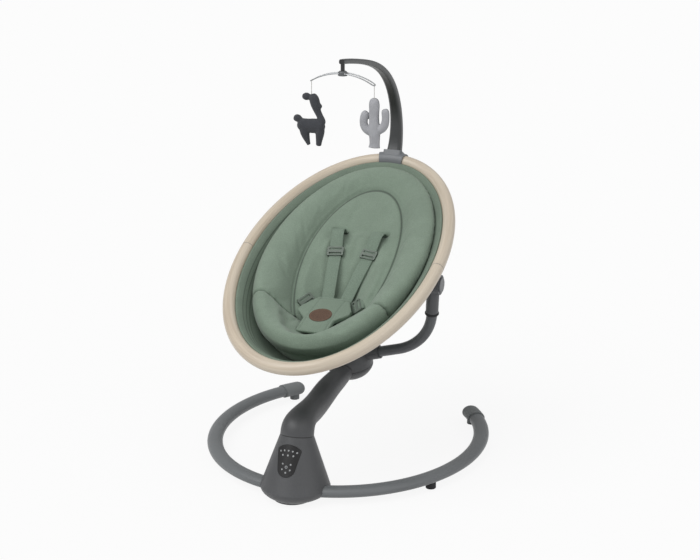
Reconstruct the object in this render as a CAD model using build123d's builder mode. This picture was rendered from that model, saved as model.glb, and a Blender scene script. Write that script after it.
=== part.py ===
from build123d import *
from math import asin, cos, degrees, radians, sin, tan
import os

# Baby swing: a C-shaped floor frame, a hub with the controls, a leaning stem with the drive head,
# a yoke that sways about the head, an oval seat ring that reclines in the yoke, a padded seat with
# a five-point harness, and a toy arch with a turning hanger and two stuffed toys.
# Origin: middle of the hub's rubber pad on the floor. Front is -Y, up is +Z, sizes in millimetres.

os.makedirs("parts", exist_ok=True)

# Clearances
slip = 0.3
running = 0.03
press = 0.02

# Floor frame
leg_half_width = 265
leg_half_length = 296
leg_tube_width = 31
leg_tube_height = 22
leg_wall = 2
leg_clear_height = 11
leg_inner_end_x = 22
leg_end_angle = 130
leg_cap_length = 46
leg_cap_wall = 2.4
cap_nose_length = 14
cap_nose_taper = 0.88
cap_nose_shares = (0, 0.45, 0.8, 1)
leg_foot_angle = 59
leg_foot_diameter = 20
leg_foot_round = 1.4
joiner_reach_x = 55

# Hub and stem
hub_radius = 68
hub_wall = 3.5
pad_height = 3
plate_clearance = 1.5
plate_thickness = 4
seam_radius = 32
seam_y = 25
seam_z = 122
seam_lean = 11.6
hub_foot_levels = ((pad_height, 36, 0), (10, 56, 12), (18, 65, 14), (24, 67, 14))
hub_cone_levels = ((24, 67, 14), (seam_z, seam_radius, seam_y))
stem_wall = 3.5
elbow = (43, 144, 42, 29.5)
arm_levels = ((95, 146, 80, 25), (140, 151, 80, 24), (200, 160, 80, 22.5), (262, 169, 80, 21))
panel_width = 48
panel_height = 62
panel_y = -25
panel_z = 87
panel_lean = 67
panel_shoulder = 0.72
panel_heel = 0.55
panel_foot_share = 0.36
panel_corner = 5.8
speaker_radius = 10
speaker_height = 12
speaker_y = 24
speaker_magnet_radius = 6.5
board_width = 44
board_height = 34
board_thickness = 1.6
board_y = -15
jack_radius = 6
jack_length = 14
jack_y = 81.5
jack_z = 30
jack_hole_radius = 2.8
screw_radius = 2
screw_head_radius = 4
screw_head_height = 2
screw_length = 8.8
screw_circle = 24

# Seat ring, its tilt and the recline pivot under it
ring_half_width = 198
ring_half_length = 323
ring_tube = 25
ring_wall = 2
ring_tilt = 23.2
ring_y = 252
ring_z = 406
ring_gap = 1.2
sleeve_reach = 32
pivot_t = -6
pivot_drop = 36
pin_radius = 6
barrel_radius = 19.5
barrel_inner_x = 178
barrel_outer_x = 203
bracket_thickness = 9
bracket_width = 36
button_radius = 15
button_proud = 3
button_travel = 3
button_seat = 5.5

# Yoke and drive head
yoke_lean = 12
yoke_top_x = 188
yoke_flare = 6
socket_rise = 16.5
yoke_corner_drop = 136.4
yoke_bend = 106
yoke_tube = 21
yoke_wall = 2
housing_radius = 12.4
housing_length = 62
housing_bore = 30
seal_radius = 13.8
seal_height = 5
head_drop = 190
head_radius = 46.5
head_top = 26
head_wall = 3.5
head_rim = 4
head_shoulder = 38.4
head_flat = 19.7
boss_floor = 3
parting = -12
parting_gap = 1
dome_depth = 28
socket_radius = 14
socket_reach_x = 66
socket_depth = 26
shaft_radius = 4
bearing_radius = 11
bearing_width = 7
boss_radius = 15
magnet_reach = 26
magnet_size = 12
magnet_height = 9
magnet_arm_width = 16
magnet_arm_thickness = 3
coil_drop = 12
coil_height = 6
coil_radius = 6
coil_bore = 2.5

# Seat cloth and padding, as depth below the ring plane, inset at the sides, inset at the ends, shift
cloth_gap = 4.5
cloth_thickness = 2.5
sling_levels = ((0, 0, 0, 0), (26, 18, 26, -6), (60, 45, 69, -24), (90, 81, 131, -42), (112, 132, 213, -55))
cushion_gap = 1.5
crown_rise = 12
crown_levels = ((-7, 33, 46, 25), (4, 17, 31.5, 26.5), (30, 15, 28.5, 18.5), (125, 13, 25, 12))
dish_levels = ((-8, 43, 55, 17), (8, 63, 84, 0), (30, 87, 145, -43), (55, 115, 207, -65), (83, 152, 265, -74))
split_t = -124
split_gap = 1
seam_half_width = 94
seam_half_length = 202
seam_t = 31
seam_width = 4
seam_depth = 5

# Harness: points as X, along the ring, above the ring plane
web_width = 25
web_thickness = 1.6
web_tab = 15
slot_play = 2
shoulder_top = (43, 105, -17)
shoulder_foot = (16, -72, -72)
waist_inner = (26, -90, -71.5)
waist_outer = (64, -70, -47)
shoulder_adjuster_place = 0.29
waist_adjuster_place = 0.29
adjuster_width = 33
adjuster_length = 20
adjuster_height = 5
adjuster_slot = 4
buckle_size = (38, 34, 9)
buckle_corner = 5
buckle_floor = 2
buckle_place = (0, -96, -74)
buckle_button_radius = 8
buckle_button_proud = 2.4
buckle_button_travel = 2
crotch_top_t = -56
crotch_foot_t = -188
crotch_trim = 2.5
crotch_half_width = 32
crotch_flare = 53
crotch_flare_t = -112
crotch_thickness = 11
crotch_corner = 5
crotch_crown = -38
crotch_top_n = -54
crotch_foot_n = -30
badge_half_width = 22
badge_half_height = 22.5
badge_t = -131
badge_thickness = 1.4

# Toy arch and mobile
clip_reach = 27
clip_wall = 3.5
clip_block = 40
clip_corner = 5
foot_angle = 60
foot_distance = 18
foot_depth = 15
foot_width = 22
foot_thickness = 11
foot_corner = 3
arch_points = ((568, 572), (572, 600), (567, 629), (556, 658), (525, 701), (467, 740), (403, 763), (339, 777),
               (259, 790.5))
arch_widths = (31, 23, 19.5, 15.5, 12.5, 11)
arch_depths = (22, 18.5, 14.5, 11.5, 10, 9)
post_y = 264
post_radius = 4
post_length = 13.5
hanger_pin_radius = 2.5
hanger_hub_radius = 9
hanger_hub_height = 9
wire_radius = 1.2
wire_half_span = 60
wire_half_gap = 6
wire_drop = 16
string_radius = 0.7
string_length = 31
string_tuck = 8
toy_thickness = 8

# Working frames
tilt = radians(ring_tilt)
lean = radians(yoke_lean)
seat = Plane(origin=(0, ring_y, ring_z), x_dir=(1, 0, 0), z_dir=(0, -sin(tilt), cos(tilt)))
pivot = seat.from_local_coords((0, pivot_t, -pivot_drop))
yoke_axis = Vector(0, -sin(lean), cos(lean))
yoke = Plane(origin=pivot, x_dir=(1, 0, 0), z_dir=(0, -cos(lean), -sin(lean)))
head_centre = pivot - yoke_axis * head_drop
head = Plane(origin=head_centre, x_dir=(1, 0, 0), z_dir=yoke_axis)
head_side = Plane(origin=head_centre, x_dir=(1, 0, 0), z_dir=head.y_dir * -1)
side_plane = Plane(origin=(0, 0, 0), x_dir=(0, 1, 0), z_dir=(1, 0, 0))
leg_level = leg_clear_height + leg_tube_height / 2
sides = (("left", -1), ("right", 1))


def finish(piece, name):
    piece.part.label = name
    export_step(piece.part, f"parts/{name}.step")


def oval(plane, half_x, half_y, shift=0):
    with BuildSketch(plane, mode=Mode.PRIVATE) as outline:
        with Locations((0, shift)):
            Ellipse(half_x, half_y)
    return outline.sketch.face()


def leaning_plane(y, z, lean_angle):
    a = radians(lean_angle)
    return Plane(origin=(0, y, z), x_dir=(1, 0, 0), z_dir=(0, sin(a), cos(a)))


def leg_path(side, start_angle, end_angle):
    with BuildLine(Plane.XY.offset(leg_level), mode=Mode.PRIVATE) as path:
        EllipticalCenterArc((0, leg_half_length), leg_half_width, leg_half_length,
                            -90 + side * start_angle, arc_size=side * (end_angle - start_angle))
    return path.line.edge()


def leg_profile(path, grow, wall=0):
    start = Plane(origin=path @ 0, x_dir=(path % 0).cross(Vector(0, 0, 1)), z_dir=path % 0)
    with BuildSketch(start, mode=Mode.PRIVATE) as profile:
        Ellipse(leg_tube_width / 2 + grow, leg_tube_height / 2 + grow)
        if wall:
            Ellipse(leg_tube_width / 2 + grow - wall, leg_tube_height / 2 + grow - wall, mode=Mode.SUBTRACT)
    return profile.sketch.face()


def ring_path(start_angle, arc_size):
    with BuildLine(seat, mode=Mode.PRIVATE) as path:
        EllipticalCenterArc((0, 0), ring_half_width, ring_half_length, start_angle, arc_size=arc_size)
    return path.line.edge()


def ring_profile(path, radius, bore=0):
    with BuildSketch(Plane(origin=path @ 0, z_dir=path % 0), mode=Mode.PRIVATE) as profile:
        Circle(radius)
        if bore:
            Circle(bore, mode=Mode.SUBTRACT)
    return profile.sketch.face()


def cap_nose(path, share):
    swell = (1 - cap_nose_taper * share ** 2) ** 0.5
    out = Plane(origin=path @ 1 + (path % 1) * cap_nose_length * share,
                x_dir=(path % 1).cross(Vector(0, 0, 1)), z_dir=path % 1)
    return oval(out, (leg_tube_width / 2 + leg_cap_wall) * swell, (leg_tube_height / 2 + leg_cap_wall) * swell)


def leg_angle(x):
    return degrees(asin(x / leg_half_width))


# Floor frame: two bent oval tubes, joined by a bar inside the hub, with end caps and rubber feet
leg_start_angle = leg_angle(leg_inner_end_x)
cap_angle = degrees(leg_cap_length / leg_half_width)
foot_half_angle = degrees(leg_foot_diameter / leg_half_width)
for side_name, side in sides:
    path = leg_path(side, leg_start_angle, leg_end_angle)
    with BuildPart() as leg_tube:
        sweep(sections=leg_profile(path, 0, leg_wall), path=path)
    finish(leg_tube, f"{side_name}_leg_tube")

with BuildPart() as leg_caps:
    for side_name, side in sides:
        cap_path = leg_path(side, leg_end_angle - cap_angle / 2, leg_end_angle + cap_angle / 4)
        covered = leg_path(side, leg_end_angle - cap_angle, leg_end_angle)
        sweep(sections=leg_profile(cap_path, leg_cap_wall), path=cap_path)
        loft(sections=[cap_nose(cap_path, share) for share in cap_nose_shares])
        with Locations(((cap_path @ 0.8).X, (cap_path @ 0.8).Y, 0)):
            Cylinder(leg_foot_diameter / 2, leg_level, align=(Align.CENTER, Align.CENTER, Align.MIN))
        sweep(sections=leg_profile(covered, press), path=covered, mode=Mode.SUBTRACT)
finish(leg_caps, "leg_caps")

with BuildPart() as leg_feet:
    for side_name, side in sides:
        foot_path = leg_path(side, leg_foot_angle - foot_half_angle, leg_foot_angle + foot_half_angle)
        with Locations(((foot_path @ 0.5).X, (foot_path @ 0.5).Y, 0)):
            Cylinder(leg_foot_diameter / 2, leg_level, align=(Align.CENTER, Align.CENTER, Align.MIN))
        sweep(sections=leg_profile(foot_path, press), path=foot_path, mode=Mode.SUBTRACT)
    fillet(leg_feet.faces().group_by(Axis.Z)[0].edges(), leg_foot_round)
finish(leg_feet, "leg_feet")

joiner_angle = leg_angle(joiner_reach_x)
joiner_path = leg_path(1, -joiner_angle, joiner_angle)
with BuildPart() as leg_joiner:
    sweep(sections=leg_profile(joiner_path, -leg_wall - slip), path=joiner_path)
finish(leg_joiner, "leg_joiner")


# Hub: a tapering shell on a rubber pad and a bottom plate, with the legs let in at the sides
def hub_sections(levels, wall):
    faces = []
    for z, radius, y in levels:
        plane = leaning_plane(y, z, seam_lean * z / seam_z)
        faces.append(oval(plane, radius - wall, radius - wall))
    return faces


panel_plane = Plane(origin=(0, panel_y, panel_z), x_dir=(1, 0, 0),
                    z_dir=(0, -sin(radians(panel_lean)), cos(radians(panel_lean))))


def panel_prism(grow):
    with BuildSketch(panel_plane, mode=Mode.PRIVATE) as outline:
        with BuildLine():
            half = panel_width / 2 + grow
            top = panel_height / 2 + grow
            foot = panel_width * panel_foot_share + grow
            crown = ThreePointArc((-half, top * panel_shoulder), (0, top), (half, top * panel_shoulder))
            right = Line(crown @ 1, (foot, -top * panel_heel))
            heel = ThreePointArc(right @ 1, (0, -top), (-foot, -top * panel_heel))
            Line(heel @ 1, crown @ 0)
        make_face()
        fillet(outline.vertices(), panel_corner)
    return outline.sketch.face()


with BuildPart() as hub_wall_solid:
    loft(sections=hub_sections(hub_foot_levels, 0))
    loft(sections=hub_sections(hub_cone_levels, 0))
    loft(sections=hub_sections(hub_foot_levels, hub_wall), mode=Mode.SUBTRACT)
    loft(sections=hub_sections(hub_cone_levels, hub_wall), mode=Mode.SUBTRACT)

with BuildPart() as base_hub:
    add(hub_wall_solid.part)
    extrude(panel_prism(slip), amount=hub_radius / 2, both=True, mode=Mode.SUBTRACT)
    for side_name, side in sides:
        entry = leg_path(side, leg_start_angle, leg_foot_angle)
        sweep(sections=leg_profile(entry, slip), path=entry, mode=Mode.SUBTRACT)
    with BuildSketch(Plane.XZ.offset(-hub_radius / 2)):
        with Locations((0, jack_z)):
            Circle(jack_radius + slip)
    extrude(amount=-hub_radius, mode=Mode.SUBTRACT)
finish(base_hub, "base_hub")

with BuildPart() as control_panel:
    add(hub_wall_solid.part)
    extrude(panel_prism(0), amount=hub_radius / 2, both=True, mode=Mode.INTERSECT)
finish(control_panel, "control_panel")

plate_radius = hub_foot_levels[0][1] - hub_wall - plate_clearance
with BuildPart() as bottom_plate:
    with BuildSketch(Plane.XY.offset(pad_height)):
        Circle(plate_radius)
    extrude(amount=plate_thickness)
    with Locations((0, 0, pad_height)):
        with PolarLocations(screw_circle, 4, start_angle=45):
            Cylinder(screw_radius + slip, plate_thickness * 3, mode=Mode.SUBTRACT)
finish(bottom_plate, "bottom_plate")

with BuildPart() as hub_foot_pad:
    Cylinder(screw_circle - screw_head_radius - slip, pad_height, align=(Align.CENTER, Align.CENTER, Align.MIN))
    fillet(hub_foot_pad.faces().sort_by(Axis.Z)[0].edges(), pad_height / 4)
finish(hub_foot_pad, "hub_foot_pad")

with BuildPart() as hub_screws:
    with PolarLocations(screw_circle, 4, start_angle=45):
        with Locations((0, 0, pad_height)):
            Cylinder(screw_radius, screw_length, align=(Align.CENTER, Align.CENTER, Align.MIN))
            Cylinder(screw_head_radius, screw_head_height, align=(Align.CENTER, Align.CENTER, Align.MAX))
finish(hub_screws, "hub_screws")

plate_top = pad_height + plate_thickness
with BuildPart() as control_board:
    with Locations((0, board_y, plate_top + leg_level + leg_tube_height / 2)):
        Box(board_width, board_thickness, board_height, align=(Align.CENTER, Align.CENTER, Align.MIN))
    with Locations((0, board_y, plate_top)):
        Box(board_width / 3, board_thickness, board_height, align=(Align.CENTER, Align.CENTER, Align.MIN))
finish(control_board, "control_board")

with BuildPart() as speaker:
    with Locations((0, speaker_y, plate_top)):
        Cylinder(speaker_magnet_radius, speaker_height / 2, align=(Align.CENTER, Align.CENTER, Align.MIN))
    with Locations((0, speaker_y, plate_top + speaker_height / 2)):
        Cone(speaker_magnet_radius, speaker_radius, speaker_height / 2,
             align=(Align.CENTER, Align.CENTER, Align.MIN))
finish(speaker, "speaker")

with BuildPart() as power_socket:
    with BuildSketch(Plane.XZ.offset(-jack_y)):
        with Locations((0, jack_z)):
            Circle(jack_radius)
            Circle(jack_hole_radius, mode=Mode.SUBTRACT)
    extrude(amount=jack_length)
finish(power_socket, "power_socket")


# Stem: a hollow elbow that leans back from the hub and carries the drive head
def stem_sections(wall):
    stations = ((seam_y, seam_z, seam_lean, seam_radius), elbow, *arm_levels)
    return [oval(leaning_plane(y, z, a), r - wall, r - wall) for y, z, a, r in stations]


def dome_profile(inset, top):
    with BuildSketch(head_side, mode=Mode.PRIVATE) as profile:
        with BuildLine():
            rim = Line((0, top), (head_radius - inset, top))
            drop = Line(rim @ 1, (head_radius - inset, parting - head_rim))
            belly = ThreePointArc(drop @ 1, (head_shoulder - inset, parting - dome_depth * 0.62 + inset / 2),
                                  (head_flat, parting - dome_depth + inset))
            base = Line(belly @ 1, (0, parting - dome_depth + inset))
            Line(base @ 1, rim @ 0)
        make_face()
    return profile.sketch.face()


head_axis = Axis(head_centre, yoke_axis)
with BuildPart() as stem:
    loft(sections=stem_sections(0))
    loft(sections=stem_sections(stem_wall), mode=Mode.SUBTRACT)
    revolve(dome_profile(0, parting), axis=head_axis, mode=Mode.SUBTRACT)
    with BuildSketch(head.offset(parting)):
        Circle(head_radius + 2 * parting_gap)
    extrude(amount=head_top * 3, mode=Mode.SUBTRACT)
finish(stem, "stem")

# Drive head, fixed half: a dome on the stem's end with two ball bearings, a coil and its core
bearing_tops = (parting - 2, parting - dome_depth + boss_floor + bearing_width)
with BuildPart() as head_lower_shell:
    revolve(dome_profile(0, parting), axis=head_axis)
    revolve(dome_profile(head_wall, parting + 1), axis=head_axis, mode=Mode.SUBTRACT)
    with BuildSketch(head.offset(parting - dome_depth)):
        Circle(boss_radius)
    extrude(amount=dome_depth - 2)
    with BuildSketch(head.offset(parting - dome_depth + boss_floor)):
        Circle(bearing_radius)
    extrude(amount=dome_depth, mode=Mode.SUBTRACT)
finish(head_lower_shell, "head_lower_shell")

with BuildPart() as head_bearings:
    for top in bearing_tops:
        with BuildSketch(head.offset(top - bearing_width)):
            Circle(bearing_radius - press)
            Circle(shaft_radius + running, mode=Mode.SUBTRACT)
        extrude(amount=bearing_width)
finish(head_bearings, "head_bearings")

coil_top = parting - coil_drop
with BuildPart() as drive_coil:
    with BuildSketch(head.offset(coil_top - coil_height)):
        with Locations((0, magnet_reach)):
            Circle(coil_radius)
            Circle(coil_bore, mode=Mode.SUBTRACT)
    extrude(amount=coil_height)
finish(drive_coil, "drive_coil")


# Yoke: the moving half of the head with its shaft and magnet, two bent tubes and the pivot housings
def yoke_path(side):
    corner_x = yoke_top_x - yoke_corner_drop * tan(radians(yoke_flare))
    inner_x = socket_reach_x - socket_depth
    inner_drop = yoke_corner_drop + (corner_x - inner_x) * tan(radians(socket_rise))
    top_x = yoke_top_x - housing_bore * tan(radians(yoke_flare))
    with BuildLine(yoke, mode=Mode.PRIVATE) as path:
        FilletPolyline((side * inner_x, -inner_drop), (side * corner_x, -yoke_corner_drop),
                       (side * top_x, -housing_bore), radius=yoke_bend)
    return path.line


def square_plane(point, direction):
    return Plane(origin=point, x_dir=yoke.z_dir, z_dir=direction)


with BuildPart() as swing_shaft:
    with BuildSketch(head.offset(parting - dome_depth + 4)):
        Circle(shaft_radius)
    extrude(amount=dome_depth + head_top - parting - head_wall - 6)
finish(swing_shaft, "swing_shaft")

with BuildPart() as head_upper_shell:
    for inset, operation in ((0, Mode.ADD), (head_wall, Mode.SUBTRACT)):
        with BuildSketch(head_side, mode=Mode.PRIVATE) as cap:
            with BuildLine():
                low = parting + parting_gap - inset
                floor = Line((0, low), (head_radius - inset, low))
                wall = Line(floor @ 1, (head_radius - inset, head_rim))
                crown = ThreePointArc(wall @ 1, (head_shoulder - inset * 0.7, head_top * 0.72 - inset * 0.7),
                                      (head_flat, head_top - inset))
                roof = Line(crown @ 1, (0, head_top - inset))
                Line(roof @ 1, floor @ 0)
            make_face()
        revolve(cap.sketch.face(), axis=head_axis, mode=operation)
    for side_name, side in sides:
        tube_path = yoke_path(side)
        entry = square_plane(tube_path @ 0, tube_path % 0)
        with BuildSketch(entry):
            Circle(socket_radius)
        extrude(amount=socket_depth / cos(radians(socket_rise)))
        with BuildSketch(entry):
            Circle(yoke_tube / 2 + press)
        extrude(amount=socket_depth * 2, mode=Mode.SUBTRACT)
    with BuildSketch(head.offset(parting + boss_floor)):
        Circle(shaft_radius * 2.4)
    extrude(amount=head_top - parting - boss_floor - head_wall / 2)
    with BuildSketch(head.offset(parting)):
        Circle(shaft_radius + press)
    extrude(amount=head_top - parting - head_wall, mode=Mode.SUBTRACT)
finish(head_upper_shell, "head_upper_shell")

with BuildPart() as magnet_arm:
    with BuildSketch(head.offset(parting - 1)):
        with Locations((0, magnet_reach / 2)):
            SlotOverall(magnet_reach + magnet_arm_width + 4, magnet_arm_width, rotation=90)
        Circle(shaft_radius + press, mode=Mode.SUBTRACT)
    extrude(amount=magnet_arm_thickness)
finish(magnet_arm, "magnet_arm")

with BuildPart() as drive_magnet:
    with BuildSketch(head.offset(parting - 1)):
        with Locations((0, magnet_reach)):
            RectangleRounded(magnet_size, magnet_size, magnet_size / 6)
    extrude(amount=-magnet_height)
finish(drive_magnet, "drive_magnet")

for side_name, side in sides:
    tube_path = yoke_path(side)
    with BuildPart() as yoke_tube_part:
        with BuildSketch(square_plane(tube_path @ 0, tube_path % 0), mode=Mode.PRIVATE) as section:
            Circle(yoke_tube / 2)
            Circle(yoke_tube / 2 - yoke_wall, mode=Mode.SUBTRACT)
        sweep(sections=section.sketch.face(), path=tube_path)
    finish(yoke_tube_part, f"{side_name}_yoke_tube")

    up = tube_path % 1
    top = tube_path @ 1
    sleeve_start = top - up * (housing_length - housing_bore)
    barrel_origin = pivot + Vector(side * barrel_inner_x, 0, 0)
    barrel_plane = Plane(origin=barrel_origin, x_dir=(0, 1, 0), z_dir=(side, 0, 0))
    barrel_length = barrel_outer_x - barrel_inner_x
    button_depth = button_seat + button_travel
    with BuildPart() as pivot_housing:
        with BuildSketch(square_plane(sleeve_start, up)):
            Circle(housing_radius)
        extrude(amount=housing_length)
        with BuildSketch(barrel_plane):
            Circle(barrel_radius)
        extrude(amount=barrel_length)
        with BuildSketch(barrel_plane.offset(-barrel_length)):
            Circle(barrel_radius * 1.5)
        extrude(amount=barrel_length, mode=Mode.SUBTRACT)
        with BuildSketch(square_plane(sleeve_start, up)):
            Circle(yoke_tube / 2 + press)
        extrude(amount=housing_length - housing_bore + slip, mode=Mode.SUBTRACT)
        with BuildSketch(barrel_plane):
            Circle(pin_radius + running)
        extrude(amount=barrel_length, mode=Mode.SUBTRACT)
        with BuildSketch(barrel_plane.offset(barrel_length - button_depth)):
            Circle(button_radius + slip)
        extrude(amount=button_depth, mode=Mode.SUBTRACT)
    finish(pivot_housing, f"{side_name}_pivot_housing")

    with BuildPart() as recline_button:
        with BuildSketch(barrel_plane.offset(barrel_length - button_seat)):
            Circle(button_radius)
        extrude(amount=button_seat + button_proud)
        fillet(recline_button.edges().group_by(Axis.X)[-1 if side > 0 else 0], button_proud * 0.6)
    finish(recline_button, f"{side_name}_recline_button")

with BuildPart() as arm_seals:
    for side_name, side in sides:
        tube_path = yoke_path(side)
        up = tube_path % 1
        seal_start = tube_path @ 1 - up * (housing_length - housing_bore + seal_height + slip)
        with BuildSketch(square_plane(seal_start, up)):
            Circle(seal_radius)
            Circle(yoke_tube / 2 + slip, mode=Mode.SUBTRACT)
        extrude(amount=seal_height)
    fillet(arm_seals.edges().filter_by(GeomType.CIRCLE).group_by(SortBy.RADIUS)[-1], seal_height * 0.35)
finish(arm_seals, "arm_seals")

# Seat ring: two bent round tubes that meet at the widest places on inner sleeves
gap_angle = degrees(ring_gap / 2 / ring_half_length)
for half_name, start_angle in (("upper_ring", 0), ("lower_ring", 180)):
    path = ring_path(start_angle + gap_angle, 180 - 2 * gap_angle)
    with BuildPart() as ring_half:
        sweep(sections=ring_profile(path, ring_tube / 2, ring_tube / 2 - ring_wall), path=path)
    finish(ring_half, half_name)

sleeve_angle = degrees(sleeve_reach / ring_half_length)
with BuildPart() as ring_sleeves:
    for start_angle in (0, 180):
        path = ring_path(start_angle - sleeve_angle, 2 * sleeve_angle)
        sweep(sections=ring_profile(path, ring_tube / 2 - ring_wall - slip), path=path)
        collar = ring_path(start_angle - gap_angle * 0.9, gap_angle * 1.8)
        sweep(sections=ring_profile(collar, ring_tube / 2 - slip), path=collar)
finish(ring_sleeves, "ring_sleeves")

clamp_angle = degrees(bracket_width / ring_half_length)
lug_x = barrel_inner_x - slip
lug_in = lug_x - bracket_thickness
lug_foot = -pivot_drop - barrel_radius
saddle_floor = barrel_radius + 1 - pivot_drop
saddle_top = -ring_tube / 4
bracket_plane = Plane(origin=seat.from_local_coords((0, pivot_t, 0)), x_dir=(1, 0, 0), z_dir=seat.y_dir * -1)
pivot_plane = Plane(origin=pivot, x_dir=(0, 1, 0), z_dir=(1, 0, 0))
with BuildPart() as ring_brackets:
    for base_angle, side in ((180, -1), (0, 1)):
        with BuildSketch(bracket_plane):
            with BuildLine():
                Polyline((side * lug_in, lug_foot), (side * lug_x, lug_foot), (side * lug_x, saddle_floor),
                         (side * ring_half_width, saddle_floor), (side * ring_half_width, saddle_top),
                         (side * (lug_x + bracket_thickness / 2), saddle_top),
                         (side * lug_in, saddle_floor - bracket_thickness), close=True)
            make_face()
        extrude(amount=bracket_width / 2, both=True)
        tube_cut = ring_path(base_angle - 2 * clamp_angle, 4 * clamp_angle)
        sweep(sections=ring_profile(tube_cut, ring_tube / 2 + press), path=tube_cut, mode=Mode.SUBTRACT)
    with BuildSketch(pivot_plane):
        Circle(pin_radius + press)
    extrude(amount=ring_half_width, both=True, mode=Mode.SUBTRACT)
finish(ring_brackets, "ring_brackets")

with BuildPart() as pivot_pins:
    for side_name, side in sides:
        with BuildSketch(pivot_plane.offset(side * lug_in)):
            Circle(pin_radius)
        extrude(amount=side * (barrel_outer_x - lug_in - button_seat - button_travel - slip))
finish(pivot_pins, "pivot_pins")


# Seat cloth: a thin bowl inside the ring, with two padded cushions lying in it
rim_half_width = ring_half_width - ring_tube / 2 - cloth_gap
rim_half_length = ring_half_length - ring_tube / 2 - cloth_gap


def bowl(levels, inset):
    half_x = rim_half_width - inset
    half_t = rim_half_length - inset
    return [oval(seat.offset(-depth), half_x - side_inset, half_t - end_inset, shift)
            for depth, side_inset, end_inset, shift in levels]


sling_inner = tuple((max(depth - cloth_thickness, 0), *rest) for depth, *rest in sling_levels)
with BuildPart() as seat_sling:
    loft(sections=bowl(sling_levels, 0))
    loft(sections=bowl(sling_inner, cloth_thickness), mode=Mode.SUBTRACT)
finish(seat_sling, "seat_sling")

with BuildPart() as cushion_bowl:
    loft(sections=bowl(sling_inner, cloth_thickness + cushion_gap))
    extrude(oval(seat, rim_half_width - cushion_gap, rim_half_length - cushion_gap), amount=crown_rise)
    loft(sections=bowl(crown_levels, 0), mode=Mode.INTERSECT)
    loft(sections=bowl(dish_levels, 0), mode=Mode.SUBTRACT)

with BuildPart() as seam_groove:
    with BuildSketch(seat.offset(-ring_half_width)):
        with Locations((0, seam_t)):
            Ellipse(seam_half_width, seam_half_length)
            Ellipse(seam_half_width - seam_width, seam_half_length - seam_width, mode=Mode.SUBTRACT)
    extrude(amount=2 * ring_half_width)
    loft(sections=bowl(dish_levels, -seam_depth), mode=Mode.INTERSECT)

with BuildPart() as leg_cushion:
    add(cushion_bowl.part)
    with BuildSketch(seat.offset(-ring_half_width)):
        with Locations((0, split_t - split_gap)):
            Rectangle(4 * ring_half_width, 4 * ring_half_width, align=(Align.CENTER, Align.MIN))
    extrude(amount=2 * ring_half_width, mode=Mode.SUBTRACT)
finish(leg_cushion, "leg_cushion")


# Harness: webbing with ladder adjusters, a buckle with its button, a crotch pad and a leather badge
def web_frame(start, end):
    first = seat.from_local_coords(start)
    last = seat.from_local_coords(end)
    along = (last - first).normalized()
    across = along.cross(seat.z_dir).normalized()
    return Plane(origin=first, x_dir=along, z_dir=across.cross(along)), (last - first).length


def web_on_side(web, side):
    top_point, foot_point = web
    return web_frame((side * top_point[0], *top_point[1:]), (side * foot_point[0], *foot_point[1:]))


def adjuster_solid(frame, length, place):
    middle = Plane(origin=frame.from_local_coords((length * place, 0, web_thickness / 2)),
                   x_dir=frame.x_dir, z_dir=frame.z_dir)
    with BuildPart(mode=Mode.PRIVATE) as adjuster:
        with BuildSketch(middle.offset(-adjuster_height / 2)):
            RectangleRounded(adjuster_length, adjuster_width, adjuster_height / 2)
        extrude(amount=adjuster_height)
        with BuildSketch(Plane(origin=middle.origin, x_dir=middle.y_dir, z_dir=middle.x_dir)):
            Rectangle(web_width + slot_play, adjuster_slot)
        extrude(amount=adjuster_length, both=True, mode=Mode.SUBTRACT)
        with BuildSketch(middle):
            with Locations((-adjuster_length / 4, 0), (adjuster_length / 4, 0)):
                Rectangle(adjuster_length / 5, web_width)
        extrude(amount=adjuster_height, mode=Mode.SUBTRACT)
    return adjuster.part


shoulder_web = (shoulder_top, shoulder_foot)
waist_web = (waist_outer, waist_inner)
slot_cuts = []
for web_name, web in (("shoulder_straps", shoulder_web), ("waist_straps", waist_web)):
    with BuildPart() as straps:
        for side_name, side in sides:
            frame, length = web_on_side(web, side)
            with BuildSketch(frame):
                Rectangle(length, web_width, align=(Align.MIN, Align.CENTER))
            extrude(amount=web_thickness)
            with BuildSketch(frame):
                Rectangle(web_thickness, web_width, align=(Align.MIN, Align.CENTER))
            extrude(amount=-web_tab)
            with BuildSketch(frame, mode=Mode.PRIVATE) as slot:
                with Locations((web_thickness / 2, 0)):
                    Rectangle(web_thickness + slot_play, web_width + slot_play)
            slot_cuts.append(slot.sketch.face())
    finish(straps, web_name)

for side_name, side in sides:
    with BuildPart() as shoulder_adjuster:
        add(adjuster_solid(*web_on_side(shoulder_web, side), shoulder_adjuster_place))
    finish(shoulder_adjuster, f"{side_name}_shoulder_adjuster")

with BuildPart() as waist_adjusters:
    for side_name, side in sides:
        add(adjuster_solid(*web_on_side(waist_web, side), waist_adjuster_place))
finish(waist_adjusters, "waist_adjusters")

with BuildPart() as back_cushion:
    add(cushion_bowl.part)
    with BuildSketch(seat.offset(-ring_half_width)):
        with Locations((0, split_t)):
            Rectangle(4 * ring_half_width, 4 * ring_half_width, align=(Align.CENTER, Align.MIN))
    extrude(amount=2 * ring_half_width, mode=Mode.INTERSECT)
    add(seam_groove.part, mode=Mode.SUBTRACT)
    for cut in slot_cuts:
        extrude(cut, amount=-web_tab - slip, mode=Mode.SUBTRACT)
finish(back_cushion, "back_cushion")

buckle_top = Plane(origin=seat.from_local_coords(buckle_place), x_dir=(1, 0, 0), z_dir=seat.z_dir)
with BuildPart() as harness_buckle:
    with BuildSketch(buckle_top.offset(-buckle_size[2] / 2)):
        RectangleRounded(buckle_size[0], buckle_size[1], buckle_corner)
    extrude(amount=buckle_size[2])
    with BuildSketch(buckle_top.offset(-buckle_size[2] / 2 + buckle_floor)):
        Circle(buckle_button_radius + slip)
    extrude(amount=buckle_size[2], mode=Mode.SUBTRACT)
finish(harness_buckle, "harness_buckle")

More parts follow.
